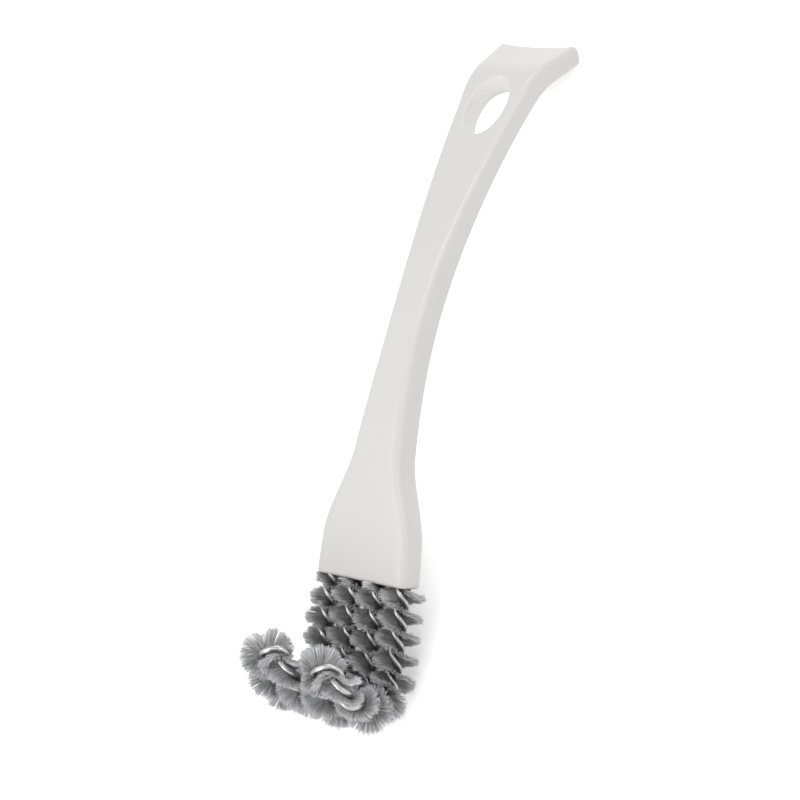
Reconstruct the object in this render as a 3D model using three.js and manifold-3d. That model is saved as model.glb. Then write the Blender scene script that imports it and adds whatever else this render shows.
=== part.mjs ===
// Cage cleaning brush: a one-piece moulded handle that carries two twisted-wire brush loops.
// Each loop is one length of brush bent into a U. Both of its ends sit in the head, and it is
// turned forward and up into a hook that reaches round behind a bar.
// It is drawn with X across, Y from the head's end face to the lip and Z to the front, and is
// then laid on its back, as it rests on a table.
import * as THREE from "three";
import { mergeVertices } from "three/addons/utils/BufferGeometryUtils.js";
import Module from "manifold-3d";

const wasm = await Module();
wasm.setup();

// Handle, in millimetres and degrees. Places along it are measured on its middle line
const handleLength = 204.1; // from the end face to the end of the lip
const headLength = 12; // straight stretch before the long backward bow
const bowAngle = 28; // the bow takes the length that the other stretches leave
const paddleLength = 8.9; // flat stretch between the bow and the lip
const lipRadius = 24.6; // backward curl at the end of the paddle
const lipAngle = 30.5;
const lipLength = 14.3; // straight end of the lip
const lipDishHeight = 1.2; // height of the lip's sides above its middle
const headSideThickness = 1.3; // between an outer socket and the head's side, at the end face
const headThickness = 10.2;
const shoulder = { distance: 14, insetDepth: 0.7, thickness: 10.4 };
const neck = { distance: 44, width: 21.6, thickness: 11.6 };
const grip = { distance: 92, width: 15.4, thickness: 12.7 };
const paddleStartWidth = 26.7;
const paddleEndWidth = 28.9;
const paddleThickness = 8.5;
const lipWidth = 34.9;
const lipThickness = 7.1;
const cornerShare = 0.32; // corner radius of a section as a share of its thickness
const headRoundingRadius = 1.1;
const lipRoundingRadius = 1.2;

// Hanging eye through the paddle
const eyeLength = 23.2;
const eyeWidth = 15.5;
const eyeRimRadius = 1.5; // rounding of both rims
const eyeLipDistance = 6.2; // from the middle of the eye to where the lip starts to curl

// Brush loops
const columnSpacing = 10.7; // between the axes of neighbouring columns
const stemDepth = 10; // length of each end inside the head
const bendRadius = 10.5; // tight bend at the foot of the columns
const bendAngle = 90;
const hookAngle = 57; // further turn from the foot up towards the crown
const crownLegLength = 2.7; // straight end of each leg, below the crown
const crownCornerRadius = 3.3; // the crown is flat between its two corners
const leftLoop = { name: "left", column: -1, columnLength: 29.9, hookRadius: 22.3 };
const rightLoop = { name: "right", column: 1, columnLength: 30.8, hookRadius: 18.8 };

// Two wires twisted left-handed, with the filaments held between them
const wireDiameter = 2.2;
const wireGap = 1.2;
const twistLength = 14.2; // along the stem, for one full turn
const crownTurnAngle = 30; // from the crown's outside to the first wire, at the crown's middle
const slackLength = 5.7; // by which the bending of the crown draws the twist out on each side
const slackDistance = 17.4; // over which it does so

// Filaments, gathered into flat strands that stand out to both sides of the stem
const brushDiameter = 16;
const strandSpacing = 1.25;
const strandThickness = 0.4;
const strandTipWidth = 0.9; // the tips are thin chisel edges
const tipCrowding = 0.9; // share of the room on the inside of a bend that the tips take
const ribWidth = 0.8; // folded middle of the filaments, between the wires
const tablePressDepth = 0.5; // how far the resting filaments are pressed in
const crownFill = 0.55; // share of the room inside the crown that the inner filaments fill

// Clearances
const socketClearance = 0.15;
const strandClearance = 0.3; // between the strands of neighbouring columns
const headClearance = 0.4; // between the head's end face and the first strand
const crownClearance = 0.4; // between the two strips of one loop, at the crown

// Facets
const cornerSteps = 4;
const faceSteps = 4;
const sectionSpacing = 5.5;
const roundingSteps = 3;
const eyeSides = 28;
const socketSides = 12;
const wireSides = 6;
const wireStepsPerTurn = 8;

const handleColor = 0xe6e5e3;
const wireColor = 0xb9b9b7;
const bristleColor = 0x8c8c8d;

const rad = THREE.MathUtils.degToRad;
const right = new THREE.Vector3(1, 0, 0);
const wireRadius = wireDiameter / 2;
const twistRadius = (wireGap + wireDiameter) / 2;
const stemRadius = twistRadius + wireRadius;
const headWidth = 3 * columnSpacing + 2 * (stemRadius + socketClearance + headSideThickness);

// Closed solid through rings of equally many points, each drawn anticlockwise for a viewer who
// looks along the row of rings
function loft(rings) {
  const count = rings[0].length;
  const points = rings.flat();
  const faces = [];
  for (let ring = 0; ring + 1 < rings.length; ring++) {
    for (let i = 0; i < count; i++) {
      const a = ring * count + i;
      const b = ring * count + (i + 1) % count;
      faces.push(a, a + count, b + count, a, b + count, b);
    }
  }
  for (const [ring, outward] of [[0, true], [rings.length - 1, false]]) {
    const centre = new THREE.Vector3();
    for (const point of rings[ring]) centre.addScaledVector(point, 1 / count);
    points.push(centre);
    for (let i = 0; i < count; i++) {
      const a = ring * count + i;
      const b = ring * count + (i + 1) % count;
      faces.push(points.length - 1, outward ? a : b, outward ? b : a);
    }
  }
  const vertProperties = new Float32Array(points.flatMap((point) => point.toArray()));
  return new wasm.Manifold(new wasm.Mesh({ numProp: 3, vertProperties, triVerts: new Uint32Array(faces) }));
}

function geometryOf(solid) {
  const { vertProperties, triVerts } = solid.getMesh();
  const geometry = new THREE.BufferGeometry();
  geometry.setAttribute("position", new THREE.BufferAttribute(vertProperties, 3));
  geometry.setIndex(new THREE.BufferAttribute(triVerts, 1));
  return geometry;
}

// Walks a plane path of straight and round runs. A turn of 0 heads along the path's first
// direction, and the angle grows towards its second
function walk(runs, distance) {
  let along = 0;
  let across = 0;
  let angle = 0;
  let left = distance;
  for (const [index, { length, turn }] of runs.entries()) {
    const part = index + 1 < runs.length ? Math.min(left, length) : left;
    const next = angle + (turn * part) / length;
    const radius = turn ? length / turn : 0;
    along += turn ? radius * (Math.sin(next) - Math.sin(angle)) : part * Math.cos(angle);
    across += turn ? radius * (Math.cos(angle) - Math.cos(next)) : part * Math.sin(angle);
    angle = next;
    left -= part;
    if (left <= 0) break;
  }
  return { along, across, angle };
}

// Smooth size through the stations, which never overshoots between two of them
function sizeAt(stations, key, along) {
  const last = stations.length - 1;
  const spanAt = (i) => stations[i + 1].distance - stations[i].distance;
  const secant = (i) => (stations[i + 1][key] - stations[i][key]) / spanAt(i);
  const slope = (i) => {
    if (i === 0 || i === last) return secant(i === 0 ? 0 : last - 1);
    const product = secant(i - 1) * secant(i);
    return product > 0 ? (2 * product) / (secant(i - 1) + secant(i)) : 0;
  };
  let i = 0;
  while (i + 1 < last && along > stations[i + 1].distance) i++;
  const run = spanAt(i);
  const t = (along - stations[i].distance) / run;
  const ends = stations[i][key] * (1 + 2 * t) * (1 - t) ** 2 + stations[i + 1][key] * (3 - 2 * t) * t ** 2;
  return ends + run * (slope(i) * t * (1 - t) ** 2 + slope(i + 1) * (t - 1) * t ** 2);
}

// Handle
const paddleEnd = handleLength - lipLength - lipRadius * rad(lipAngle);
const paddleStart = paddleEnd - paddleLength;
const handleRuns = [
  { length: headLength, turn: 0 },
  { length: paddleStart - headLength, turn: rad(bowAngle) },
  { length: paddleLength, turn: 0 },
  { length: lipRadius * rad(lipAngle), turn: rad(lipAngle) },
  { length: lipLength, turn: 0 },
];
const stations = [
  { distance: 0, width: headWidth, thickness: headThickness, dish: 0 },
  { ...shoulder, width: headWidth - 2 * shoulder.insetDepth, dish: 0 },
  { ...neck, dish: 0 },
  { ...grip, dish: 0 },
  { distance: paddleStart, width: paddleStartWidth, thickness: paddleThickness, dish: 0 },
  { distance: paddleEnd, width: paddleEndWidth, thickness: paddleThickness, dish: 0 },
  { distance: handleLength, width: lipWidth, thickness: lipThickness, dish: lipDishHeight },
];

// Middle line of the handle, with its direction and the direction its front faces
function handleLine(distance) {
  const { along, across, angle } = walk(handleRuns, distance);
  return {
    place: new THREE.Vector3(0, along, -across),
    ahead: new THREE.Vector3(0, Math.cos(angle), -Math.sin(angle)),
    front: new THREE.Vector3(0, Math.sin(angle), Math.cos(angle)),
  };
}

// Rounded section of the handle, drawn in by an inset where its ends are rounded
function handleSection(distance, inset) {
  const width = sizeAt(stations, "width", distance) - 2 * inset;
  const thickness = sizeAt(stations, "thickness", distance) - 2 * inset;
  const dish = sizeAt(stations, "dish", distance);
  const corner = cornerShare * (thickness + 2 * inset) - inset;
  const { place, front } = handleLine(distance);
  const flat = width / 2 - corner;
  const rise = thickness / 2 - corner;
  const outline = [];
  for (let quarter = 0; quarter < 4; quarter++) {
    const signX = quarter === 0 || quarter === 3 ? 1 : -1;
    const signFront = quarter < 2 ? 1 : -1;
    for (let step = 0; step <= cornerSteps; step++) {
      const angle = ((quarter + step / cornerSteps) * Math.PI) / 2;
      outline.push([signX * flat + corner * Math.cos(angle), signFront * rise + corner * Math.sin(angle)]);
    }
    for (let step = 1; quarter % 2 === 0 && step < faceSteps; step++) {
      outline.push([signX * flat * (1 - (2 * step) / faceSteps), (signFront * thickness) / 2]);
    }
  }
  return outline.map(([x, out]) =>
    place.clone().addScaledVector(right, x).addScaledVector(front, out + dish * ((2 * x) / width) ** 2));
}

function buildHandle() {
  const rings = [];
  for (let step = 0; step < roundingSteps; step++) {
    const angle = ((step / roundingSteps) * Math.PI) / 2;
    const fromFace = headRoundingRadius * (1 - Math.cos(angle));
    rings.push(handleSection(fromFace, headRoundingRadius * (1 - Math.sin(angle))));
  }
  const body = handleLength - headRoundingRadius - lipRoundingRadius;
  const sections = Math.round(body / sectionSpacing);
  for (let step = 0; step <= sections; step++) {
    rings.push(handleSection(headRoundingRadius + (body * step) / sections, 0));
  }
  for (let step = roundingSteps - 1; step >= 0; step--) {
    const angle = ((step / roundingSteps) * Math.PI) / 2;
    const fromEnd = lipRoundingRadius * (1 - Math.cos(angle));
    rings.push(handleSection(handleLength - fromEnd, lipRoundingRadius * (1 - Math.sin(angle))));
  }
  return loft(rings);
}

// Oval cutter for the eye, flared at both faces into rounded rims
function buildEyeCutter() {
  const { place, ahead, front } = handleLine(paddleEnd - eyeLipDistance);
  const half = paddleThickness / 2;
  const levels = [[half + eyeRimRadius, eyeRimRadius]];
  for (let step = 0; step <= roundingSteps; step++) {
    const angle = ((1 - step / roundingSteps) * Math.PI) / 2;
    levels.push([half - eyeRimRadius * (1 - Math.sin(angle)), eyeRimRadius * (1 - Math.cos(angle))]);
  }
  const mirrored = levels.map(([level, grow]) => [-level, grow]).reverse();
  return loft([...levels, ...mirrored].map(([level, grow]) =>
    Array.from({ length: eyeSides }, (_, i) => {
      const angle = (2 * Math.PI * i) / eyeSides;
      return place.clone()
        .addScaledVector(right, (eyeWidth / 2 + grow) * Math.cos(angle))
        .addScaledVector(ahead, (eyeLength / 2 + grow) * Math.sin(angle))
        .addScaledVector(front, level);
    })));
}

// Blind socket for one end of a loop, wider than the stem and deeper than its slanting wire ends
function buildSocketCutter(x) {
  const radius = (stemRadius + socketClearance) / Math.cos(Math.PI / socketSides);
  return loft([-1, stemDepth + wireRadius + socketClearance].map((y) =>
    Array.from({ length: socketSides }, (_, i) => {
      const angle = (2 * Math.PI * (i + 0.5)) / socketSides;
      return new THREE.Vector3(x + radius * Math.cos(angle), y, radius * Math.sin(angle));
    })));
}

// Axis of one loop. Distances are measured from the crown's middle, below zero on the leg with
// the lower X
class LoopAxis {
  constructor({ column, columnLength, hookRadius }) {
    this.centre = column * columnSpacing;
    this.runs = [
      { length: columnLength, turn: 0 },
      { length: bendRadius * rad(bendAngle), turn: rad(bendAngle) },
      { length: hookRadius * rad(hookAngle), turn: rad(hookAngle) },
      { length: crownLegLength, turn: 0 },
    ];
    this.crown = [
      { length: columnSpacing / 2 - crownCornerRadius, turn: 0 },
      { length: (crownCornerRadius * Math.PI) / 2, turn: Math.PI / 2 },
    ];
    const lengthOf = (runs) => runs.reduce((sum, { length }) => sum + length, 0);
    this.leg = lengthOf(this.runs);
    this.quarter = lengthOf(this.crown);
    this.half = this.quarter + this.leg;
    this.foot = new THREE.Vector3(this.centre, -columnLength, bendRadius);
  }

  // Place, heading and the two directions square to it, which turn no more than the axis does
  frameAt(distance) {
    const fromCrown = Math.min(Math.abs(distance), this.quarter);
    const { along, across, angle } = walk(this.runs, Math.min(this.half - Math.abs(distance), this.leg));
    const climb = new THREE.Vector3(0, -Math.cos(angle), Math.sin(angle));
    const crown = walk(this.crown, fromCrown);
    const swing = Math.sign(distance) * crown.angle;
    const side = right.clone().multiplyScalar(Math.sin(swing)).addScaledVector(climb, Math.cos(swing));
    const heading = right.clone().multiplyScalar(Math.cos(swing)).addScaledVector(climb, -Math.sin(swing));
    const place = new THREE.Vector3(this.centre + Math.sign(distance) * crown.along, -along, across)
      .addScaledVector(climb, crownCornerRadius - crown.across);
    return { place, heading, side, lift: right.clone().cross(climb), onCrown: fromCrown < this.quarter };
  }

  // Direction from the axis to the first wire or, a quarter turn on, to the filaments
  twistAt(distance, frame, quarterTurns = 0) {
    const drawn = distance - slackLength * Math.tanh(distance / slackDistance);
    const angle = rad(crownTurnAngle) - (2 * Math.PI * drawn) / twistLength + (quarterTurns * Math.PI) / 2;
    return frame.side.clone().multiplyScalar(Math.cos(angle)).addScaledVector(frame.lift, Math.sin(angle));
  }
}

// Middle line of one of a loop's two wires, from socket to socket
class WireLine extends THREE.Curve {
  constructor(axis, quarterTurns) {
    super();
    this.axis = axis;
    this.quarterTurns = quarterTurns;
    this.reach = axis.half + stemDepth;
    this.turns = (2 * (this.reach - slackLength)) / twistLength;
    this.arcLengthDivisions = Math.round(this.turns * wireStepsPerTurn * 4);
  }

  getPoint(t) {
    const distance = (2 * t - 1) * this.reach;
    const frame = this.axis.frameAt(distance);
    return frame.place.addScaledVector(this.axis.twistAt(distance, frame, this.quarterTurns), twistRadius);
  }
}

function buildWire(line) {
  const ring = Array.from({ length: wireSides }, (_, i) => {
    const angle = (2 * Math.PI * i) / wireSides;
    return new THREE.Vector2(wireRadius * Math.cos(angle), wireRadius * Math.sin(angle));
  });
  const steps = Math.round(line.turns * wireStepsPerTurn);
  const geometry = new THREE.ExtrudeGeometry(new THREE.Shape(ring), { extrudePath: line, steps });
  geometry.deleteAttribute("normal");
  geometry.deleteAttribute("uv");
  return mergeVertices(geometry, 1e-4);
}

// Least gap of a wire to itself, between points more than a turn apart along it
function leastSelfGap(line) {
  const points = line.getSpacedPoints(Math.round(line.turns * wireStepsPerTurn * 2));
  const turn = wireStepsPerTurn * 2;
  let least = Infinity;
  for (let i = 0; i < points.length; i++) {
    for (let j = i + turn; j < points.length; j++) least = Math.min(least, points[i].distanceTo(points[j]));
  }
  return least - wireDiameter;
}

// Longest strand from a place that stays inside its own column, the crown and the table
function strandLength(frame, direction, bounds, table) {
  let length = brushDiameter / 2;
  const margin = strandClearance / 2 + strandTipWidth / 2;
  const room = direction.x > 0 ? bounds.high - margin - frame.place.x : frame.place.x - bounds.low - margin;
  if (Math.abs(direction.x) > 1e-6) length = Math.min(length, room / Math.abs(direction.x));
  const inward = -direction.dot(frame.side);
  if (frame.onCrown && inward > 1e-6) length = Math.min(length, (crownFill * crownCornerRadius) / inward);
  const down = -direction.dot(table.normal);
  if (down > 1e-6) length = Math.min(length, (frame.place.dot(table.normal) - table.level) / down);
  return Math.max(length, ribWidth);
}

// Strands of one leg, fused to the thin rib that the wires hold, from the head to the crown
function buildBristles(axis, side, bounds, table) {
  const start = side * (axis.half - headClearance);
  const end = (side * crownClearance) / 2;
  const from = Math.min(start, end);
  const run = Math.abs(start - end);
  const cells = Math.round(run / strandSpacing);
  const spacing = run / cells;
  const points = [];
  const faces = [];
  const quad = (a, b, c, d) => faces.push(a, b, c, a, c, d);
  for (let ring = 0; ring <= cells; ring++) {
    const distance = from + spacing * ring;
    const frame = axis.frameAt(distance);
    const toWire = axis.twistAt(distance, frame);
    const outward = axis.twistAt(distance, frame, 1);
    for (const [out, wire] of [[1, -1], [1, 1], [-1, 1], [-1, -1]]) {
      points.push(frame.place.clone()
        .addScaledVector(outward, (out * ribWidth) / 2)
        .addScaledVector(toWire, (wire * strandThickness) / 2));
    }
  }
  for (let cell = 0; cell < cells; cell++) {
    const distance = from + spacing * (cell + 0.5);
    const frame = axis.frameAt(distance);
    const outward = axis.twistAt(distance, frame, 1);
    const before = axis.frameAt(distance - spacing / 2).heading;
    const bend = axis.frameAt(distance + spacing / 2).heading.sub(before);
    for (let corner = 0; corner < 4; corner++) {
      const a = cell * 4 + corner;
      const b = cell * 4 + (corner + 1) % 4;
      const base = [a, a + 4, b + 4, b];
      if (corner % 2) {
        quad(...base);
        continue;
      }
      const direction = outward.clone().multiplyScalar(corner === 0 ? 1 : -1);
      const length = strandLength(frame, direction, bounds, table);
      const room = spacing - length * direction.dot(bend);
      const tipHalf = Math.min(strandTipWidth, tipCrowding * room) / 2;
      const tip = frame.place.clone().addScaledVector(direction, length);
      const behind = points.push(tip.clone().addScaledVector(frame.heading, -tipHalf)) - 1;
      const ahead = points.push(tip.addScaledVector(frame.heading, tipHalf)) - 1;
      quad(base[0], base[1], ahead, behind);
      quad(base[2], base[3], behind, ahead);
      faces.push(base[1], base[2], ahead, base[3], base[0], behind);
    }
  }
  quad(0, 1, 2, 3);
  quad(cells * 4 + 3, cells * 4 + 2, cells * 4 + 1, cells * 4);
  const geometry = new THREE.BufferGeometry().setFromPoints(points);
  geometry.setIndex(faces);
  return { geometry, strands: cells * 2 };
}

// Assembly
const loops = [leftLoop, rightLoop].map((loop) => ({ ...loop, axis: new LoopAxis(loop) }));
const columns = loops.flatMap(({ axis }) => [-1, 1].map((side) => axis.centre + (side * columnSpacing) / 2));
const handleSolid = [buildEyeCutter(), ...columns.map(buildSocketCutter)]
  .reduce((solid, cutter) => solid.subtract(cutter), buildHandle());
const handleGeometry = geometryOf(handleSolid);

// Tilt at which the lip and the filaments behind the foot of the longest loop touch the table
const [longest] = [...loops].sort((a, b) => b.columnLength - a.columnLength);
const { foot } = longest.axis;
const footReach = bendRadius + brushDiameter / 2 - tablePressDepth;
const handlePoints = handleGeometry.getAttribute("position");
let restTilt = 0;
for (let i = 0; i < handlePoints.count; i++) {
  const along = handlePoints.getY(i) - foot.y;
  const up = handlePoints.getZ(i) - foot.z;
  const reach = Math.hypot(along, up);
  const tilt = along > 0 ? -Math.asin(footReach / reach) - Math.atan2(up, along) : 0;
  restTilt = Math.max(restTilt, tilt);
}
const tableNormal = new THREE.Vector3(0, Math.sin(restTilt), Math.cos(restTilt));
const table = { normal: tableNormal, level: foot.dot(tableNormal) - footReach };

const brush = new THREE.Group();
brush.rotation.x = restTilt;

function addPiece(name, geometry, color, roughness, metalness) {
  geometry.computeVertexNormals();
  const piece = new THREE.Mesh(geometry, new THREE.MeshStandardMaterial({ color, roughness, metalness }));
  piece.name = name;
  brush.add(piece);
}

addPiece("handle", handleGeometry, handleColor, 0.35, 0);
let strandCount = 0;
for (const { name, column, axis } of loops) {
  for (const [letter, quarterTurns] of [["a", 0], ["b", 2]]) {
    const line = new WireLine(axis, quarterTurns);
    addPiece(`${name}_loop_wire_${letter}`, buildWire(line), wireColor, 0.3, 1);
    console.log(`${name} wire ${letter}: least gap to itself ${leastSelfGap(line).toFixed(2)} mm`);
  }
  for (const side of [-1, 1]) {
    const outer = side === column;
    const bounds = side < 0
      ? { low: outer ? -Infinity : axis.centre - columnSpacing, high: axis.centre }
      : { low: axis.centre, high: outer ? Infinity : axis.centre + columnSpacing };
    const { geometry, strands } = buildBristles(axis, side, bounds, table);
    addPiece(`${name}_${outer ? "outer" : "inner"}_bristles`, geometry, bristleColor, 0.7, 0);
    strandCount += strands;
  }
}
console.log(`strands: ${strandCount}`);

// The origin is on the table, under the middle of the brush
brush.updateMatrixWorld(true);
const box = new THREE.Box3().setFromObject(brush, true);
brush.position.set(-(box.min.x + box.max.x) / 2, -(box.min.y + box.max.y) / 2, -box.min.z);

const headCentre = new THREE.Vector3().applyMatrix4(brush.matrixWorld).add(brush.position);
const headText = headCentre.toArray().map((value) => value.toFixed(3));
const tiltText = THREE.MathUtils.radToDeg(restTilt).toFixed(3);
console.log(`tilt ${tiltText} degrees, middle of the head's end face at ${headText} mm`);

const part = new THREE.Group();
part.add(brush);
part.updateMatrixWorld(true);

export default part;
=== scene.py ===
import math

import bmesh
import bpy
from mathutils import Matrix, Vector


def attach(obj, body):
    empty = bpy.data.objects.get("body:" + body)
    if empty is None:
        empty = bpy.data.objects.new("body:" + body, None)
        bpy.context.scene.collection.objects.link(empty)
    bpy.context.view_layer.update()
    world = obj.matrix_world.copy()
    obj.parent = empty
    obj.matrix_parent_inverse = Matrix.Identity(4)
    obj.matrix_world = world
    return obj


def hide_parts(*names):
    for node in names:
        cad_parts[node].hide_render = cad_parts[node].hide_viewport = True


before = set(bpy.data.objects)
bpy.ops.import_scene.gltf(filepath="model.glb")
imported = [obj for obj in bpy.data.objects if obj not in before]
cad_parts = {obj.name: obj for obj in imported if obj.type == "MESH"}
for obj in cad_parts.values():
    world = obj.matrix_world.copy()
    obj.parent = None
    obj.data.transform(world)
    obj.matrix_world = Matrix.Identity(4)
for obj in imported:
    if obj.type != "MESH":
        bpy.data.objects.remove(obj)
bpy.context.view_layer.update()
scene = bpy.context.scene
mm = 0.001
across = Vector((1, 0, 0))
columnSpacing = 10.7  # between the axes of neighbouring columns, in the head and on the loops
print("frame loaded:", len(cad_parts), "nodes")

# The brush is drawn in millimetres, X across, Y from the head's end face to the lip, Z to the front.
# It then lies on its back, as the solids do
restLay = {"tilt": 14.594, "headPlace": (0.0, -73.884, 15.659)}
layTurn = Matrix.Rotation(math.radians(restLay["tilt"]), 3, "X")
headPlace = Vector(restLay["headPlace"])


def laid(point):
    return (layTurn @ point + headPlace) * mm


# Node helpers: a value is either set on the socket or linked to it
def feed(tree, socket, value):
    if isinstance(value, bpy.types.NodeSocket):
        tree.links.new(value, socket)
    else:
        socket.default_value = value


def addNode(tree, kind, inputs=None, **settings):
    node = tree.nodes.new(kind)
    for name, value in settings.items():
        setattr(node, name, value)
    for key, value in (inputs or {}).items():
        feed(tree, node.inputs[key], value)
    return node


def calc(tree, operation, *values):
    return addNode(tree, "ShaderNodeMath", dict(enumerate(values)), operation=operation).outputs[0]


def vectorCalc(tree, operation, *values):
    node = addNode(tree, "ShaderNodeVectorMath", dict(enumerate(values)), operation=operation)
    return node.outputs["Value" if operation == "DOT_PRODUCT" else "Vector"]


def scaled(tree, vector, factor):
    return addNode(tree, "ShaderNodeVectorMath", {0: vector, 3: factor}, operation="SCALE").outputs[0]


def added(tree, first, *others):
    for other in others:
        first = vectorCalc(tree, "ADD", first, other)
    return first


def newTree(name, inputs):
    tree = bpy.data.node_groups.new(name, "GeometryNodeTree")
    tree.interface.new_socket("Geometry", in_out="OUTPUT", socket_type="NodeSocketGeometry")
    for socketName, kind in inputs:
        tree.interface.new_socket(socketName, in_out="INPUT", socket_type="NodeSocket" + kind)
    return tree, addNode(tree, "NodeGroupInput").outputs


def closeTree(tree, geometry, material):
    smooth = addNode(tree, "GeometryNodeSetShadeSmooth", {"Geometry": geometry}).outputs[0]
    real = addNode(tree, "GeometryNodeRealizeInstances", {"Geometry": smooth}).outputs[0]
    painted = addNode(tree, "GeometryNodeSetMaterial", {"Geometry": real, "Material": material})
    addNode(tree, "NodeGroupOutput", {0: painted.outputs[0]})


def namedField(tree, name, kind):
    node = addNode(tree, "GeometryNodeInputNamedAttribute", {"Name": name}, data_type=kind)
    return node.outputs[0]


def kept(tree, geometry, name, kind, value):
    inputs = {"Geometry": geometry, "Name": name, "Value": value}
    return addNode(tree, "GeometryNodeStoreNamedAttribute", inputs, data_type=kind).outputs[0]


def randomFloat(tree, low, high, seed):
    node = addNode(tree, "FunctionNodeRandomValue", {2: low, 3: high, 8: seed}, data_type="FLOAT")
    return node.outputs[1]


def spread(tree, share, low, high):
    return addNode(tree, "ShaderNodeMapRange", {0: share, 3: low, 4: high}).outputs[0]


def mixed(tree, share, first, second):
    return addNode(tree, "ShaderNodeMix", {0: share, 6: first, 7: second}, data_type="RGBA").outputs[2]


def surfaceValue(tree, name):
    return addNode(tree, "ShaderNodeAttribute", attribute_name=name).outputs["Fac"]


# Runs a tree on an object and leaves a plain mesh
def grown(name, mesh, tree, values):
    piece = bpy.data.objects.new(name, mesh)
    scene.collection.objects.link(piece)
    modifier = piece.modifiers.new("grow", "NODES")
    modifier.node_group = tree
    for item in tree.interface.items_tree:
        if item.in_out == "INPUT" and item.name in values:
            modifier[item.identifier] = values[item.name]
    piece.update_tag()
    result = bpy.data.meshes.new_from_object(piece.evaluated_get(bpy.context.evaluated_depsgraph_get()))
    piece.modifiers.clear()
    piece.data = result
    result.name = name
    bpy.data.meshes.remove(mesh)
    return piece


def settle(piece, slot, *nodes):
    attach(piece, "root")
    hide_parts(*nodes)


# Materials
def newMaterial(name):
    material = bpy.data.materials.new(name)
    material.use_nodes = True
    tree = material.node_tree
    return material, tree, tree.nodes["Principled BSDF"]


# Shared unevenness of a surface: a slow drift, a fine grain and a height for the bump
unevenSpec = {"driftDetail": 3.0, "grainDetail": 2.0, "driftShare": 0.6, "grainShare": 0.4}


def makeUnevenness(spec):
    tree = bpy.data.node_groups.new("unevenness", "ShaderNodeTree")
    for name in ("Drift Scale", "Grain Scale"):
        tree.interface.new_socket(name, in_out="INPUT", socket_type="NodeSocketFloat")
    for name in ("Color", "Tint"):
        tree.interface.new_socket(name, in_out="INPUT", socket_type="NodeSocketColor")
    for name in ("Base Roughness", "Roughness Range"):
        tree.interface.new_socket(name, in_out="INPUT", socket_type="NodeSocketFloat")
    for name, kind in (("Color", "Color"), ("Roughness", "Float"), ("Height", "Float")):
        tree.interface.new_socket(name, in_out="OUTPUT", socket_type="NodeSocket" + kind)
    source = addNode(tree, "NodeGroupInput").outputs
    place = addNode(tree, "ShaderNodeTexCoord").outputs["Object"]
    drift = addNode(tree, "ShaderNodeTexNoise", {
        "Vector": place, "Scale": source["Drift Scale"], "Detail": spec["driftDetail"]}).outputs[0]
    grain = addNode(tree, "ShaderNodeTexNoise", {
        "Vector": place, "Scale": source["Grain Scale"], "Detail": spec["grainDetail"]}).outputs[0]
    driftPart = calc(tree, "MULTIPLY", drift, spec["driftShare"])
    grainPart = calc(tree, "MULTIPLY", grain, spec["grainShare"])
    swing = calc(tree, "SUBTRACT", calc(tree, "ADD", driftPart, grainPart), 0.5)
    rough = calc(tree, "MULTIPLY_ADD", swing, source["Roughness Range"], source["Base Roughness"])
    out = addNode(tree, "NodeGroupOutput")
    feed(tree, out.inputs["Color"], mixed(tree, drift, source["Color"], source["Tint"]))
    feed(tree, out.inputs["Roughness"], rough)
    feed(tree, out.inputs["Height"], grain)
    return tree


unevenness = makeUnevenness(unevenSpec)


def addUnevenness(tree, shader, look):
    group = addNode(tree, "ShaderNodeGroup", {
        "Drift Scale": look["driftScale"], "Grain Scale": look["grainScale"],
        "Color": look["color"], "Tint": look["tint"],
        "Base Roughness": look["roughness"], "Roughness Range": look["roughnessRange"],
    }, node_tree=unevenness)
    feed(tree, shader.inputs["Base Color"], group.outputs["Color"])
    feed(tree, shader.inputs["Roughness"], group.outputs["Roughness"])
    bump = addNode(tree, "ShaderNodeBump", {
        "Strength": look["bumpStrength"], "Distance": look["bumpDistance"],
        "Height": group.outputs["Height"]})
    feed(tree, shader.inputs["Normal"], bump.outputs[0])
    return group


plasticLook = {
    "color": (0.7, 0.688, 0.679, 1), "tint": (0.682, 0.67, 0.661, 1),
    "roughness": 0.3, "roughnessRange": 0.1, "driftScale": 38.0, "grainScale": 1300.0,
    "bumpStrength": 0.04, "bumpDistance": 0.00005, "specular": 0.5,
    # Painted light: a paler plastic colour on the eye's wall stands in for the light that comes through the
    # moulding and brightens that hollow
    "eyeWallPaintedLight": (0.86, 0.848, 0.838, 1),  # paler, for the light that comes through the moulding there
}


def makePlastic(look):
    material, tree, shader = newMaterial("satinWhitePlastic")
    group = addUnevenness(tree, shader, look)
    # Painted light: the eye's wall mask mixes the paler colour in
    inEye = surfaceValue(tree, "eyeWallPaintedLight")
    feed(tree, shader.inputs["Base Color"], mixed(tree, inEye, group.outputs["Color"], look["eyeWallPaintedLight"]))
    shader.inputs["Specular IOR Level"].default_value = look["specular"]
    return material


steelLook = {
    "color": (0.5, 0.5, 0.496, 1), "tint": (0.37, 0.37, 0.366, 1),
    "roughness": 0.28, "roughnessRange": 0.3, "driftScale": 420.0, "grainScale": 5200.0,
    "bumpStrength": 0.1, "bumpDistance": 0.00003,
}


def makeSteel(look):
    material, tree, shader = newMaterial("drawnSteelWire")
    addUnevenness(tree, shader, look)
    shader.inputs["Metallic"].default_value = 1.0
    return material


# Greys from root to tip, each (place, grey), where the filaments are fresh and where they are worn. Darker
# roots are painted shade inside the fins and paler tips are painted light through the thin tips. The darker
# fresh greys are painted shade on the columns, and the paler worn greys are painted light on the hook and
# beside the head
nylonLook = {
    "freshAndShaded": ((0.0, 0.3), (0.62, 0.42), (1.0, 0.92)),
    "wornAndLit": ((0.0, 0.48), (0.55, 0.63), (1.0, 0.94)),
    "blueGain": 1.012, "toneLow": 0.7, "toneHigh": 1.05, "roughness": 0.42, "roughnessRange": 0.16,
}


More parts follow.
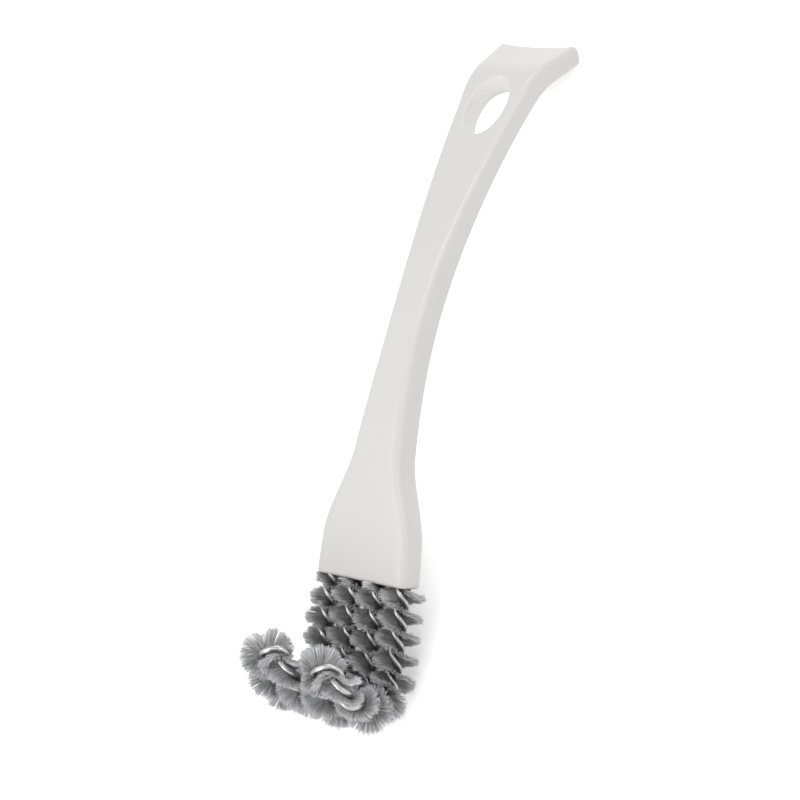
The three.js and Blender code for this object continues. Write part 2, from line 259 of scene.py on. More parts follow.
def addGreys(tree, share, stops, blueGain):
    ramp = addNode(tree, "ShaderNodeValToRGB", {0: share})
    elements = ramp.color_ramp.elements
    while len(elements) < len(stops):
        elements.new(0.5)
    for element, (place, grey) in zip(elements, stops):
        element.position = place
        element.color = (grey, grey, grey * blueGain, 1)
    return ramp.outputs[0]


def makeNylon(look):
    material, tree, shader = newMaterial("greyNylonFilament")
    share, tone, wornAndLit = [surfaceValue(tree, name) for name in ("tipShare", "tone", "wearAndLight")]
    greys = [addGreys(tree, share, look[name], look["blueGain"]) for name in ("freshAndShaded", "wornAndLit")]
    strength = spread(tree, tone, look["toneLow"], look["toneHigh"])
    # Painted light and shade: the wear mask mixes the darker column greys with the paler hook greys, and the
    # ramps darken the roots and lighten the tips
    feed(tree, shader.inputs["Base Color"], scaled(tree, mixed(tree, wornAndLit, *greys), strength))
    swing = calc(tree, "SUBTRACT", tone, 0.5)
    rough = calc(tree, "MULTIPLY_ADD", swing, look["roughnessRange"], look["roughness"])
    feed(tree, shader.inputs["Roughness"], rough)
    return material


plastic = makePlastic(plasticLook)
steel = makeSteel(steelLook)
nylon = makeNylon(nylonLook)
print("materials made")


# A plane path of straight and round runs, each (length, turn)
def walk(runs, distance):
    ahead = sideways = angle = 0.0
    left = distance
    for index, (length, turn) in enumerate(runs):
        part = min(left, length) if index + 1 < len(runs) else left
        after = angle + turn * part / length
        if turn:
            ahead += length / turn * (math.sin(after) - math.sin(angle))
            sideways += length / turn * (math.cos(angle) - math.cos(after))
        else:
            ahead += part * math.cos(angle)
            sideways += part * math.sin(angle)
        angle = after
        left -= part
        if left <= 0:
            break
    return ahead, sideways, angle


# Handle
handleSpec = {
    "length": 204.1, "headStraight": 12, "bowAngle": 28, "paddleLength": 8.9,
    "lipRadius": 24.6, "lipAngle": 30.5, "lipFlat": 14.3, "lipDish": 1.2,
    "head": (40.6, 10.2), "shoulder": (14, 39.2, 10.4),  # width and thickness, after the place along it
    "neck": (44, 21.6, 11.6), "grip": (92, 15.4, 12.7),
    "paddleWidths": (26.7, 28.9), "paddleThickness": 8.5, "lip": (34.9, 7.1),
    "cornerShare": 0.32, "headRounding": 1.1, "lipRounding": 1.2,
    "eyeLength": 23.2, "eyeWidth": 15.5, "eyeRim": 1.5, "eyeFromLip": 6.2, "eyeMargin": 2.6,
    "socketRadius": 2.95, "socketDepth": 11.25, "socketOvershoot": 1,
    "rowSpacing": 1.3, "cornerSteps": 7, "faceSteps": 18, "sideSteps": 3, "roundingSteps": 6,
    "patchRings": 4, "rimSteps": 6, "wallSteps": 4, "socketSides": 32, "sharpAngle": 40,
}


widthOf, thicknessOf, dishOf = 1, 2, 3  # columns of the table of stations


class HandleShape:
    def __init__(self, spec):
        self.spec = spec
        self.length = spec["length"]
        bow, lip = math.radians(spec["bowAngle"]), math.radians(spec["lipAngle"])
        self.paddleEnd = self.length - spec["lipFlat"] - spec["lipRadius"] * lip
        paddleStart = self.paddleEnd - spec["paddleLength"]
        self.runs = [
            (spec["headStraight"], 0),
            (paddleStart - spec["headStraight"], bow),
            (spec["paddleLength"], 0),
            (spec["lipRadius"] * lip, lip),
            (spec["lipFlat"], 0),
        ]
        self.stations = [
            (0, *spec["head"], 0),
            (*spec["shoulder"], 0),
            (*spec["neck"], 0),
            (*spec["grip"], 0),
            (paddleStart, spec["paddleWidths"][0], spec["paddleThickness"], 0),
            (self.paddleEnd, spec["paddleWidths"][1], spec["paddleThickness"], 0),
            (self.length, *spec["lip"], spec["lipDish"]),
        ]

    # Smooth size through the stations, without overshoot
    def size(self, column, distance):
        table = self.stations
        last = len(table) - 1

        def secant(i):
            return (table[i + 1][column] - table[i][column]) / (table[i + 1][0] - table[i][0])

        def slope(i):
            if i in (0, last):
                return secant(0 if i == 0 else last - 1)
            product = secant(i - 1) * secant(i)
            return 2 * product / (secant(i - 1) + secant(i)) if product > 0 else 0

        i = 0
        while i + 1 < last and distance > table[i + 1][0]:
            i += 1
        run = table[i + 1][0] - table[i][0]
        t = (distance - table[i][0]) / run
        ends = table[i][column] * (1 + 2 * t) * (1 - t) ** 2 + table[i + 1][column] * (3 - 2 * t) * t ** 2
        return ends + run * (slope(i) * t * (1 - t) ** 2 + slope(i + 1) * (t - 1) * t ** 2)

    # A point at a distance along the middle line, x across and out towards the front
    def point(self, distance, x, out):
        ahead, sideways, angle = walk(self.runs, distance)
        front = Vector((0, math.sin(angle), math.cos(angle)))
        lift = out + self.size(dishOf, distance) * (2 * x / self.size(widthOf, distance)) ** 2
        return Vector((x, ahead, -sideways)) + front * lift

    def flatHalf(self, distance):
        corner = self.spec["cornerShare"] * self.size(thicknessOf, distance)
        return self.size(widthOf, distance) / 2 - corner

    # Section as (x, out) pairs, anticlockwise seen along the handle
    def outline(self, distance, inset):
        spec = self.spec
        width = self.size(widthOf, distance) - 2 * inset
        thick = self.size(thicknessOf, distance) - 2 * inset
        corner = spec["cornerShare"] * (thick + 2 * inset) - inset
        flat = width / 2 - corner
        rise = thick / 2 - corner
        pairs = []
        for quarter in range(4):
            signX = 1 if quarter in (0, 3) else -1
            signOut = 1 if quarter < 2 else -1
            for step in range(spec["cornerSteps"] + 1):
                angle = (quarter + step / spec["cornerSteps"]) * math.pi / 2
                x = signX * flat + corner * math.cos(angle)
                pairs.append((x, signOut * rise + corner * math.sin(angle)))
            steps = spec["sideSteps"] if quarter % 2 else spec["faceSteps"]
            for step in range(1, steps):
                share = 1 - 2 * step / steps
                if quarter % 2:
                    pairs.append((-(width / 2) if quarter == 1 else width / 2, signX * -rise * share))
                else:
                    pairs.append((signX * flat * share, signOut * thick / 2))
        return pairs


def makeHandle(spec):
    shape = HandleShape(spec)
    faceSteps = spec["faceSteps"]
    eyeMiddle = shape.paddleEnd - spec["eyeFromLip"]
    patchHalf = spec["eyeLength"] / 2 + spec["eyeRim"] + spec["eyeMargin"]

    # Rows along the handle: rounded ends and three even stretches, so two rows border the eye
    rows = []
    headRounding, lipRounding = spec["headRounding"], spec["lipRounding"]
    for step in range(spec["roundingSteps"]):
        angle = step / spec["roundingSteps"] * math.pi / 2
        rows.append((headRounding * (1 - math.cos(angle)), headRounding * (1 - math.sin(angle))))
    marks = [headRounding, eyeMiddle - patchHalf, eyeMiddle + patchHalf, shape.length - lipRounding]
    patchRows = []
    for start, end in zip(marks, marks[1:]):
        patchRows.append(len(rows))
        count = round((end - start) / spec["rowSpacing"])
        rows += [(start + (end - start) * step / count, 0) for step in range(count)]
    rows.append((marks[-1], 0))
    for step in range(spec["roundingSteps"] - 1, -1, -1):
        angle = step / spec["roundingSteps"] * math.pi / 2
        fromEnd = lipRounding * (1 - math.cos(angle))
        rows.append((shape.length - fromEnd, lipRounding * (1 - math.sin(angle))))
    firstRow, lastRow = patchRows[1], patchRows[2]

    # Columns of the two flat faces, both counted from +X to -X
    corner = spec["cornerSteps"]
    frontStart = corner
    backStart = 3 * corner + faceSteps + spec["sideSteps"] + faceSteps
    faceColumn = {1: lambda i: frontStart + i, -1: lambda i: backStart - i}

    def inPatch(row, column):
        if not firstRow < row < lastRow:
            return False
        return frontStart < column < frontStart + faceSteps or backStart - faceSteps < column < backStart

    bm = bmesh.new()
    # Mask of the painted light on the eye's wall: 0 on the faces, rising over the rim to 1 in the wall
    eyeWallPaintedLight = bm.verts.layers.float.new("eyeWallPaintedLight")
    grid = []
    for row, (distance, inset) in enumerate(rows):
        outline = shape.outline(distance, inset)
        grid.append([None if inPatch(row, column) else bm.verts.new(laid(shape.point(distance, x, out)))
                     for column, (x, out) in enumerate(outline)])
    count = len(grid[0])
    for row in range(len(rows) - 1):
        for column in range(count):
            after = (column + 1) % count
            onFace = (frontStart <= column < frontStart + faceSteps
                      or backStart - faceSteps <= column < backStart)
            if firstRow <= row < lastRow and onFace:
                continue
            bm.faces.new((grid[row][column], grid[row + 1][column], grid[row + 1][after], grid[row][after]))

    # Flat ends: strips from front to back, and the two rounded sides
    for row in (grid[0], grid[-1]):
        for i in range(faceSteps):
            bm.faces.new([row[faceColumn[1](i)], row[faceColumn[1](i + 1)],
                          row[faceColumn[-1](i + 1)], row[faceColumn[-1](i)]])
        bm.faces.new([row[column] for column in range(frontStart + faceSteps, backStart - faceSteps + 1)])
        bm.faces.new([row[column % count] for column in range(backStart, count + frontStart + 1)])

    # Eye: each face's patch closes in on the oval, rolls over the rim and meets the other in the wall
    border = [(firstRow, i) for i in range(faceSteps + 1)]
    border += [(row, faceSteps) for row in range(firstRow + 1, lastRow + 1)]
    border += [(lastRow, i) for i in range(faceSteps - 1, -1, -1)]
    border += [(row, 0) for row in range(lastRow - 1, firstRow, -1)]
    halfLength, halfWidth = spec["eyeLength"] / 2, spec["eyeWidth"] / 2
    rim = spec["eyeRim"]
    rounds = [(spec["patchRings"] - ring) / spec["patchRings"] for ring in range(1, spec["patchRings"] + 1)]
    innerRings = {}
    for side in (1, -1):
        ring = [grid[row][faceColumn[side](i)] for row, i in border]
        levels = [(share, rim, 0) for share in rounds]
        for step in range(1, spec["rimSteps"] + 1):
            angle = step / spec["rimSteps"] * math.pi / 2
            levels.append((0, rim * (1 - math.sin(angle)), rim * (1 - math.cos(angle))))
        for share, grow, drop in levels:
            points = []
            for row, i in border:
                distance = rows[row][0]
                x = shape.flatHalf(distance) * (1 - 2 * i / faceSteps)
                angle = math.atan2((distance - eyeMiddle) / (halfLength + rim), x / (halfWidth + rim))
                ovalDistance = eyeMiddle + (halfLength + grow) * math.sin(angle)
                ovalX = (halfWidth + grow) * math.cos(angle)
                at = distance * share + ovalDistance * (1 - share)
                out = side * (shape.size(thicknessOf, at) / 2 - drop)
                vertex = bm.verts.new(laid(shape.point(at, x * share + ovalX * (1 - share), out)))
                vertex[eyeWallPaintedLight] = drop / rim
                points.append(vertex)
            bridge(bm, ring, points)
            ring = points
        innerRings[side] = ring
    ring = innerRings[1]
    for step in range(1, spec["wallSteps"] + 1):
        share = step / spec["wallSteps"]
        if share < 1:
            ends = zip(innerRings[1], innerRings[-1])
            after = [bm.verts.new(front.co.lerp(back.co, share)) for front, back in ends]
            for vertex in after:
                vertex[eyeWallPaintedLight] = 1.0
        else:
            after = innerRings[-1]
        bridge(bm, ring, after)
        ring = after
    bmesh.ops.recalc_face_normals(bm, faces=bm.faces)
    mesh = bpy.data.meshes.new("handleMoulding")
    bm.to_mesh(mesh)
    bm.free()
    piece = bpy.data.objects.new("handleMoulding", mesh)
    scene.collection.objects.link(piece)
    cutSockets(piece, spec)
    piece.data.polygons.foreach_set("use_smooth", [True] * len(piece.data.polygons))
    piece.data.set_sharp_from_angle(angle=math.radians(spec["sharpAngle"]))
    piece.data.materials.append(plastic)
    return piece


def bridge(bm, first, second):
    for i in range(len(first)):
        after = (i + 1) % len(first)
        bm.faces.new((first[i], first[after], second[after], second[i]))


# Blind sockets in the head's end face, one for each end of a loop
def cutSockets(piece, spec):
    bm = bmesh.new()
    radius, depth, overshoot = spec["socketRadius"], spec["socketDepth"], spec["socketOvershoot"]
    turn = Matrix.Rotation(math.pi / 2, 4, "X")
    for column in (-1.5, -0.5, 0.5, 1.5):
        middle = Vector((column * columnSpacing, (depth - overshoot) / 2, 0))
        made = bmesh.ops.create_cone(bm, cap_ends=True, segments=spec["socketSides"], radius1=radius,
                                     radius2=radius, depth=depth + overshoot, matrix=turn)
        for vertex in made["verts"]:
            vertex.co = laid(vertex.co + middle)
    mesh = bpy.data.meshes.new("socketCutter")
    bm.to_mesh(mesh)
    bm.free()
    cutter = bpy.data.objects.new("socketCutter", mesh)
    scene.collection.objects.link(cutter)
    modifier = piece.modifiers.new("sockets", "BOOLEAN")
    modifier.object = cutter
    modifier.solver = "EXACT"
    result = bpy.data.meshes.new_from_object(piece.evaluated_get(bpy.context.evaluated_depsgraph_get()))
    piece.modifiers.clear()
    old = piece.data
    piece.data = result
    result.name = "handleMoulding"
    bpy.data.meshes.remove(old)
    bpy.data.objects.remove(cutter)
    bpy.data.meshes.remove(mesh)


handle = makeHandle(handleSpec)
settle(handle, "white_plastic", "handle")
print("handle made:", len(handle.data.polygons), "faces")


# Brush loops: the axis of each, with the directions round it and the angle of the twist.
# Notches are where the filaments are shorter: distance from the crown's middle, width and depth
loopSpec = {
    "stemDepth": 10, "bendRadius": 10.5, "bendAngle": 90, "hookAngle": 57,
    "left": {
        "column": -1, "straight": 29.9, "hookRadius": 22.3,
        "notches": ((-2.8, 0.8, 0.3), (7.5, 1.4, 0.3), (13.5, 3.0, 0.3), (-78.5, 8.0, 0.3)),
    },
    "right": {
        "column": 1, "straight": 30.8, "hookRadius": 18.8,
        "notches": ((-6.2, 1.8, 0.5), (6.5, 1.3, 0.4), (13.5, 3.5, 0.5), (20.5, 3.5, 0.4)),
    },
    "crownLeg": 2.7, "crownCorner": 3.3, "crownTurn": 30, "twistLength": 14.2,
    # Reach of the wear mask, which also paints light on the hook and beside the head
    "slack": 5.7, "slackReach": 17.4, "wornAndLitWithin": (24, 46), "wornAndLitAtHead": 5, "axisStep": 0.45,
}


class LoopAxis:
    def __init__(self, spec, name):
        loop = spec[name]
        self.spec = spec
        self.centre = loop["column"] * columnSpacing
        self.notches = loop["notches"]
        corner = spec["crownCorner"]
        self.crown = [(columnSpacing / 2 - corner, 0), (corner * math.pi / 2, math.pi / 2)]
        self.quarter = sum(length for length, turn in self.crown)
        bend, hook = math.radians(spec["bendAngle"]), math.radians(spec["hookAngle"])
        self.runs = [
            (loop["straight"], 0),
            (spec["bendRadius"] * bend, bend),
            (loop["hookRadius"] * hook, hook),
            (spec["crownLeg"], 0),
        ]
        self.leg = sum(length for length, turn in self.runs)
        self.half = self.quarter + self.leg

    def at(self, distance):
        onCrown = abs(distance) < self.quarter
        fromHead = self.leg if onCrown else self.half - abs(distance)
        ahead, sideways, angle = walk(self.runs, fromHead)
        climb = Vector((0, -math.cos(angle), math.sin(angle)))
        out, down, swing = walk(self.crown, min(abs(distance), self.quarter))
        swing = math.copysign(swing, distance)
        side = across * math.sin(swing) + climb * math.cos(swing)
        heading = across * math.cos(swing) - climb * math.sin(swing)
        place = Vector((self.centre + math.copysign(out, distance), -ahead, sideways))
        place += climb * (self.spec["crownCorner"] - down)
        drawn = distance - self.spec["slack"] * math.tanh(distance / self.spec["slackReach"])
        twist = math.radians(self.spec["crownTurn"]) - 2 * math.pi * drawn / self.spec["twistLength"]
        return place, side, across.cross(climb), heading, twist

    # A line of edges that carries the directions and the twist for the trees
    def line(self, start, end):
        steps = round(abs(end - start) / self.spec["axisStep"])
        places = [start + (end - start) * i / steps for i in range(steps + 1)]
        samples = [self.at(distance) for distance in places]
        mesh = bpy.data.meshes.new("axisLine")
        mesh.from_pydata([laid(sample[0]) for sample in samples], [(i, i + 1) for i in range(steps)], [])
        for index, name in ((1, "sideways"), (2, "lift"), (3, "heading")):
            values = [component for sample in samples for component in layTurn @ sample[index]]
            mesh.attributes.new(name, "FLOAT_VECTOR", "POINT").data.foreach_set("vector", values)
        fields = {
            "twist": [sample[4] for sample in samples],
            "wearAndLight": [self.wearAndLight(distance) for distance in places],
            "trim": [self.trim(distance) for distance in places],
        }
        for name, values in fields.items():
            mesh.attributes.new(name, "FLOAT", "POINT").data.foreach_set("value", values)
        return mesh

    # Full on the hook and beside the head, none on the columns. It loosens the hairs there, and in the nylon
    # it also brings in the paler greys: painted light on the hook and beside the head, painted shade on the
    # columns
    def wearAndLight(self, distance):
        near, far = self.spec["wornAndLitWithin"]
        onHook = (far - abs(distance)) / (far - near)
        atHead = (abs(distance) - self.half) / self.spec["wornAndLitAtHead"] + 1
        return min(max(onHook, atHead, 0), 1)

    # Share of their length that the filaments keep
    def trim(self, distance):
        share = 1.0
        for at, width, depth in self.notches:
            share *= 1 - depth * math.exp(-((distance - at) / width) ** 2)
        return share


# Direction square to the axis at an angle round it
def roundAxis(tree, angle):
    sideways = scaled(tree, namedField(tree, "sideways", "FLOAT_VECTOR"), calc(tree, "COSINE", angle))
    lift = scaled(tree, namedField(tree, "lift", "FLOAT_VECTOR"), calc(tree, "SINE", angle))
    return added(tree, sideways, lift)


# Wires: a round tube on a line that winds round the axis
wireSpec = {"diameter": 2.2, "gap": 1.2, "sides": 16}


def makeWireTree():
    tree, source = newTree("twistedWire", [
        ("Axis", "Geometry"), ("Twist Radius", "Float"), ("Wire Radius", "Float"), ("Phase", "Float"),
        ("Sides", "Int"), ("Material", "Material")])
    curve = addNode(tree, "GeometryNodeMeshToCurve", {0: source["Axis"]}).outputs[0]
    angle = calc(tree, "ADD", namedField(tree, "twist", "FLOAT"), source["Phase"])
    offset = scaled(tree, roundAxis(tree, angle), source["Twist Radius"])
    wound = addNode(tree, "GeometryNodeSetPosition", {"Geometry": curve, "Offset": offset}).outputs[0]
    ring = addNode(tree, "GeometryNodeCurvePrimitiveCircle",
                   {"Resolution": source["Sides"], "Radius": source["Wire Radius"]}).outputs[0]
    tube = addNode(tree, "GeometryNodeCurveToMesh", {
        "Curve": wound, "Profile Curve": ring, "Fill Caps": True}).outputs[0]
    closeTree(tree, tube, source["Material"])
    return tree


# Filaments: fine bent hairs that leave the stem on two sides and follow the twist
filamentSpec = {
    "perMillimetre": 50, "diameter": 0.2, "reach": 8.0, "points": 3, "sides": 3, "tipScale": 0.9,
    "reachScatter": (0.86, 1.02), "rootSpread": 0.45, "fanAngle": 8, "strayLean": 0.12, "bend": 0.06,
    "tuftAngle": 12, "tuftLean": 0.14, "tuftScale": 900.0, "tuftDetail": 1.5,
    "tuftGain": 4.0, "tuftShift": (0.0, 0.37, 0.11),  # stretches the noise, and parts the two sides
    "calm": 0.5, "columnLean": 0.95,  # shares of the disorder that are left on the columns
    "headGap": 0.25, "tableGap": 0.2, "startGap": 0.3, "crownGap": 0.1,
    "seed": 11, "loopSeedStep": 20, "legSeedStep": 50,
}


def makeFilamentTree(spec):
    tree, source = newTree("filamentFin", [
        ("Axis", "Geometry"), ("Count", "Int"), ("Reach", "Float"), ("Radius", "Float"),
        ("Root Spread", "Float"), ("Fan Angle", "Float"), ("Tuft Angle", "Float"), ("Tuft Lean", "Float"),
        ("Stray Lean", "Float"), ("Bend", "Float"), ("Calm", "Float"), ("Column Lean", "Float"),
        ("Tuft Scale", "Float"), ("Head Gap", "Float"), ("Table Gap", "Float"),
        ("Head Place", "Vector"), ("Head Away", "Vector"), ("Seed", "Int"), ("Material", "Material")])
    seed = source["Seed"]

    def seeded(step):
        return calc(tree, "ADD", seed, float(step))

    curve = addNode(tree, "GeometryNodeMeshToCurve", {0: source["Axis"]}).outputs[0]
    roots = addNode(tree, "GeometryNodeCurveToPoints", {"Curve": curve, "Count": source["Count"]},
                    mode="COUNT").outputs["Points"]
    pairs = addNode(tree, "GeometryNodeDuplicateElements", {"Geometry": roots, "Amount": 2}, domain="POINT")
    twist = namedField(tree, "twist", "FLOAT")
    heading = namedField(tree, "heading", "FLOAT_VECTOR")
    opposite = calc(tree, "MULTIPLY", pairs.outputs["Duplicate Index"], math.pi)

    # Neighbours lean together in small tufts, and each hair strays a little from them
    place = addNode(tree, "GeometryNodeInputPosition").outputs[0]
    tuftAt = added(tree, place, scaled(tree, spec["tuftShift"], pairs.outputs["Duplicate Index"]))
    tuft = addNode(tree, "ShaderNodeTexNoise", {
        "Vector": tuftAt, "Scale": source["Tuft Scale"], "Detail": spec["tuftDetail"]}).outputs["Color"]
    tuftParts = addNode(tree, "ShaderNodeSeparateXYZ", {
        0: vectorCalc(tree, "SUBTRACT", tuft, (0.5, 0.5, 0.5))}).outputs
    gain = spec["tuftGain"]
    turn = calc(tree, "MULTIPLY", tuftParts[0], calc(tree, "MULTIPLY", source["Tuft Angle"], gain))
    lean = calc(tree, "MULTIPLY", tuftParts[1], calc(tree, "MULTIPLY", source["Tuft Lean"], gain))
    fan = calc(tree, "MULTIPLY", randomFloat(tree, -1.0, 1.0, seeded(1)), source["Fan Angle"])
    stray = calc(tree, "MULTIPLY", randomFloat(tree, -1.0, 1.0, seeded(2)), source["Stray Lean"])
    # The wear mask also carries painted light in the nylon; here it only loosens the hairs
    wornAndLit = namedField(tree, "wearAndLight", "FLOAT")
    loose = spread(tree, wornAndLit, source["Calm"], 1.0)
    splay = calc(tree, "MULTIPLY", calc(tree, "ADD", turn, fan), loose)
    angle = calc(tree, "ADD", calc(tree, "ADD", twist, calc(tree, "ADD", opposite, math.pi / 2)), splay)
    strayPart = calc(tree, "MULTIPLY", stray, spread(tree, wornAndLit, source["Column Lean"], 1.0))
    slant = calc(tree, "ADD", calc(tree, "MULTIPLY", lean, loose), strayPart)
    direction = added(tree, roundAxis(tree, angle), scaled(tree, heading, slant))
    length = calc(tree, "MULTIPLY", source["Reach"], randomFloat(tree, *spec["reachScatter"], seeded(3)))
    length = calc(tree, "MULTIPLY", length, namedField(tree, "trim", "FLOAT"))
    reach = scaled(tree, direction, length)
    aside = calc(tree, "MULTIPLY", randomFloat(tree, -1.0, 1.0, seeded(4)), source["Root Spread"])
    root = added(tree, place, scaled(tree, roundAxis(tree, twist), aside))
    anyWay = addNode(tree, "FunctionNodeRandomValue", {0: (-1.0,) * 3, 1: (1.0,) * 3, 8: seeded(5)},
                     data_type="FLOAT_VECTOR").outputs[0]
    bendShare = calc(tree, "MULTIPLY", source["Bend"], loose)
    bend = scaled(tree, anyWay, calc(tree, "MULTIPLY", bendShare, length))

    # Hairs bend away from the head's end face and from the table
    tip = added(tree, root, reach, bend)
    fromHead = vectorCalc(tree, "DOT_PRODUCT", vectorCalc(tree, "SUBTRACT", tip, source["Head Place"]),
                          source["Head Away"])
    offHead = calc(tree, "MAXIMUM", calc(tree, "SUBTRACT", source["Head Gap"], fromHead), 0.0)
    height = addNode(tree, "ShaderNodeSeparateXYZ", {0: tip}).outputs["Z"]
    offTable = calc(tree, "MAXIMUM", calc(tree, "SUBTRACT", source["Table Gap"], height), 0.0)
    bend = added(tree, bend, scaled(tree, source["Head Away"], offHead))
    bend = added(tree, bend, scaled(tree, (0.0, 0.0, 1.0), offTable))

    geometry = kept(tree, pairs.outputs["Geometry"], "hairRoot", "FLOAT_VECTOR", root)
    geometry = kept(tree, geometry, "hairReach", "FLOAT_VECTOR", reach)
    geometry = kept(tree, geometry, "hairBend", "FLOAT_VECTOR", bend)
    geometry = kept(tree, geometry, "tone", "FLOAT", randomFloat(tree, 0.0, 1.0, seeded(6)))
    straight = addNode(tree, "GeometryNodeCurvePrimitiveLine", {"End": (0.0, 0.0, mm)}).outputs[0]
    hair = addNode(tree, "GeometryNodeResampleCurve",
                   {"Curve": straight, "Count": spec["points"]}, mode="COUNT").outputs[0]
    planted = addNode(tree, "GeometryNodeInstanceOnPoints", {"Points": geometry, "Instance": hair}).outputs[0]
    hairs = addNode(tree, "GeometryNodeRealizeInstances", {"Geometry": planted}).outputs[0]
    share = addNode(tree, "GeometryNodeSplineParameter").outputs["Factor"]
    hairs = kept(tree, hairs, "tipShare", "FLOAT", share)
    share = namedField(tree, "tipShare", "FLOAT")
    along = scaled(tree, namedField(tree, "hairReach", "FLOAT_VECTOR"), share)
    bent = scaled(tree, namedField(tree, "hairBend", "FLOAT_VECTOR"), calc(tree, "MULTIPLY", share, share))
    position = added(tree, namedField(tree, "hairRoot", "FLOAT_VECTOR"), along, bent)
    hairs = addNode(tree, "GeometryNodeSetPosition", {"Geometry": hairs, "Position": position}).outputs[0]
    ring = addNode(tree, "GeometryNodeCurvePrimitiveCircle",
                   {"Resolution": spec["sides"], "Radius": source["Radius"]}).outputs[0]
    taper = calc(tree, "MULTIPLY_ADD", share, spec["tipScale"] - 1, 1.0)
    tubes = addNode(tree, "GeometryNodeCurveToMesh",
                    {"Curve": hairs, "Profile Curve": ring, "Scale": taper, "Fill Caps": True}).outputs[0]
    closeTree(tree, tubes, source["Material"])
    return tree


wireTree = makeWireTree()
filamentTree = makeFilamentTree(filamentSpec)
headAway = layTurn @ Vector((0, -1, 0))

for loopName in ("left", "right"):
    axis = LoopAxis(loopSpec, loopName)
    ends = axis.half + loopSpec["stemDepth"]
    for letter, phase in (("A", 0.0), ("B", math.pi)):
        wire = grown(f"{loopName}Wire{letter}", axis.line(-ends, ends), wireTree, {
            "Twist Radius": (wireSpec["gap"] + wireSpec["diameter"]) / 2 * mm,
            "Wire Radius": wireSpec["diameter"] / 2 * mm, "Phase": phase, "Sides": wireSpec["sides"],
            "Material": steel})
        settle(wire, "steel_wire", f"{loopName}_loop_wire_{letter.lower()}")
    for side in (-1, 1):
        place = "outer" if side == loopSpec[loopName]["column"] else "inner"
        start, end = axis.half - filamentSpec["startGap"], filamentSpec["crownGap"] / 2
        legLine = axis.line(side * start, side * end)
        filaments = grown(f"{loopName}{place.title()}Filaments", legLine, filamentTree, {
            "Count": round((start - end) * filamentSpec["perMillimetre"]),
            "Reach": filamentSpec["reach"] * mm, "Radius": filamentSpec["diameter"] / 2 * mm,
            "Root Spread": filamentSpec["rootSpread"] * mm,
            "Fan Angle": math.radians(filamentSpec["fanAngle"]),
            "Tuft Angle": math.radians(filamentSpec["tuftAngle"]),
            "Tuft Lean": filamentSpec["tuftLean"], "Stray Lean": filamentSpec["strayLean"],
            "Bend": filamentSpec["bend"], "Calm": filamentSpec["calm"],
            "Column Lean": filamentSpec["columnLean"], "Tuft Scale": filamentSpec["tuftScale"],
            "Head Gap": filamentSpec["headGap"] * mm, "Table Gap": filamentSpec["tableGap"] * mm,
            "Head Place": laid(Vector()), "Head Away": headAway,
            "Seed": filamentSpec["seed"] + filamentSpec["loopSeedStep"] * loopSpec[loopName]["column"]
            + filamentSpec["legSeedStep"] * side,
            "Material": nylon})
        settle(filaments, "grey_nylon", f"{loopName}_{place}_bristles")
        print(filaments.name, len(filaments.data.polygons), "faces")
    print(loopName, "loop made")

# Stage: pale floor, white surroundings, soft lamps
stageSpec = {
    "floorLook": {
        "color": (0.93, 0.93, 0.93, 1), "tint": (0.93, 0.93, 0.93, 1),
        "roughness": 0.9, "roughnessRange": 0.1, "driftScale": 3.0, "grainScale": 600.0,
        "bumpStrength": 0.02, "bumpDistance": 0.0001, "specular": 0.1,
    },
    "floorSize": 8.0, "floorGlow": 0.42, "farGlow": 1.0, "fadeFrom": 0.45, "fadeTo": 0.95,
    "ambient": 0.56,
    "lamps": [
        {"name": "keyLamp", "at": (-0.35, -0.45, 1.0), "size": 0.7, "watts": 2.9},
        {"name": "ridgeLamp", "at": (0.55, 0.4, 0.88), "size": 0.35, "watts": 2.1},
        {"name": "backLamp", "at": (-0.2, 0.9, 0.6), "size": 0.6, "watts": 2.0},
        {"name": "frontLamp", "at": (0.0, -1.0, 0.4), "size": 0.5, "watts": 3.2},
        {"name": "rightLamp", "at": (0.95, 0.1, 0.55), "size": 0.5, "watts": 0.75},
    ],
}


def seenRays(tree):
    rays = addNode(tree, "ShaderNodeLightPath").outputs
    shiny = calc(tree, "MAXIMUM", rays["Is Glossy Ray"], rays["Is Transmission Ray"])
    return calc(tree, "MAXIMUM", rays["Is Camera Ray"], shiny)


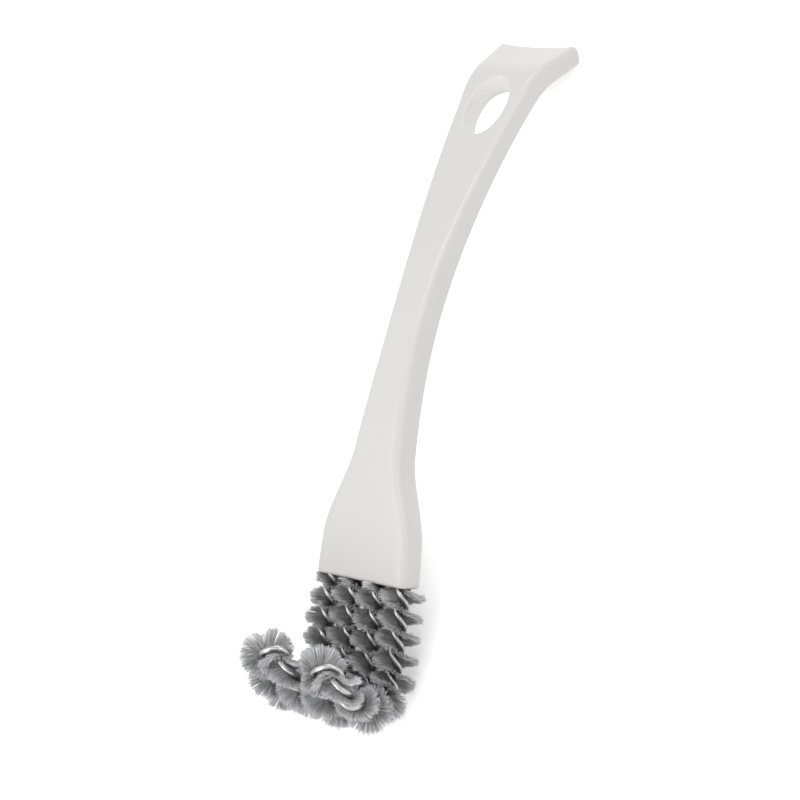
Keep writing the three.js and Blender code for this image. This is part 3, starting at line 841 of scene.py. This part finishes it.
def makeStage(spec):
    material, tree, shader = newMaterial("paleFloor")
    addUnevenness(tree, shader, spec["floorLook"])
    shader.inputs["Specular IOR Level"].default_value = spec["floorLook"]["specular"]
    shader.inputs["Emission Color"].default_value = (1, 1, 1, 1)
    # The floor turns white far off, so low views have no horizon
    place = addNode(tree, "ShaderNodeNewGeometry").outputs["Position"]
    away = addNode(tree, "ShaderNodeVectorMath", {0: place}, operation="LENGTH").outputs["Value"]
    glow = addNode(tree, "ShaderNodeMapRange", {
        "Value": away, "From Min": spec["fadeFrom"], "From Max": spec["fadeTo"],
        "To Min": spec["floorGlow"], "To Max": spec["farGlow"]}).outputs["Result"]
    feed(tree, shader.inputs["Emission Strength"], calc(tree, "MULTIPLY", seenRays(tree), glow))
    mesh = bpy.data.meshes.new("floor")
    half = spec["floorSize"] / 2
    corners = [(-half, -half, 0), (half, -half, 0), (half, half, 0), (-half, half, 0)]
    mesh.from_pydata(corners, [], [(0, 1, 2, 3)])
    mesh.materials.append(material)
    floor = bpy.data.objects.new("floor", mesh)
    scene.collection.objects.link(floor)

    world = bpy.data.worlds.new("whiteRoom")
    world.use_nodes = True
    scene.world = world
    tree = world.node_tree
    seen = seenRays(tree)
    strength = calc(tree, "MULTIPLY_ADD", seen, 1.0 - spec["ambient"], spec["ambient"])
    background = tree.nodes["Background"]
    background.inputs["Color"].default_value = (1, 1, 1, 1)
    feed(tree, background.inputs["Strength"], strength)
    for lamp in spec["lamps"]:
        data = bpy.data.lights.new(lamp["name"], "AREA")
        data.size = lamp["size"]
        data.energy = lamp["watts"]
        light = bpy.data.objects.new(lamp["name"], data)
        light.location = lamp["at"]
        light.rotation_euler = (-Vector(lamp["at"])).to_track_quat("-Z", "Y").to_euler()
        scene.collection.objects.link(light)


makeStage(stageSpec)

# Camera, fitted to the photograph's frame of 800 by 800. Its places are the brush's own millimetres
cameraSpec = {
    "at": (595.23, 107.11, 702.96), "lookAt": (0.08, 61.83, -6.32),
    "up": (-0.1166, 0.9926, 0.0345), "lens": 122.64, "sensor": 36.0, "clipStart": 0.01,
}


def makeCamera(spec):
    data = bpy.data.cameras.new("camera")
    data.lens = spec["lens"]
    data.sensor_width = spec["sensor"]
    data.clip_start = spec["clipStart"]
    camera = bpy.data.objects.new("camera", data)
    at = laid(Vector(spec["at"]))
    back = (at - laid(Vector(spec["lookAt"]))).normalized()
    right = (layTurn @ Vector(spec["up"])).cross(back).normalized()
    turn = Matrix((right, back.cross(right), back)).transposed()
    camera.matrix_world = Matrix.Translation(at) @ turn.to_4x4()
    scene.collection.objects.link(camera)
    scene.camera = camera


makeCamera(cameraSpec)
scene.view_settings.view_transform = "Standard"
print("stage and camera made")
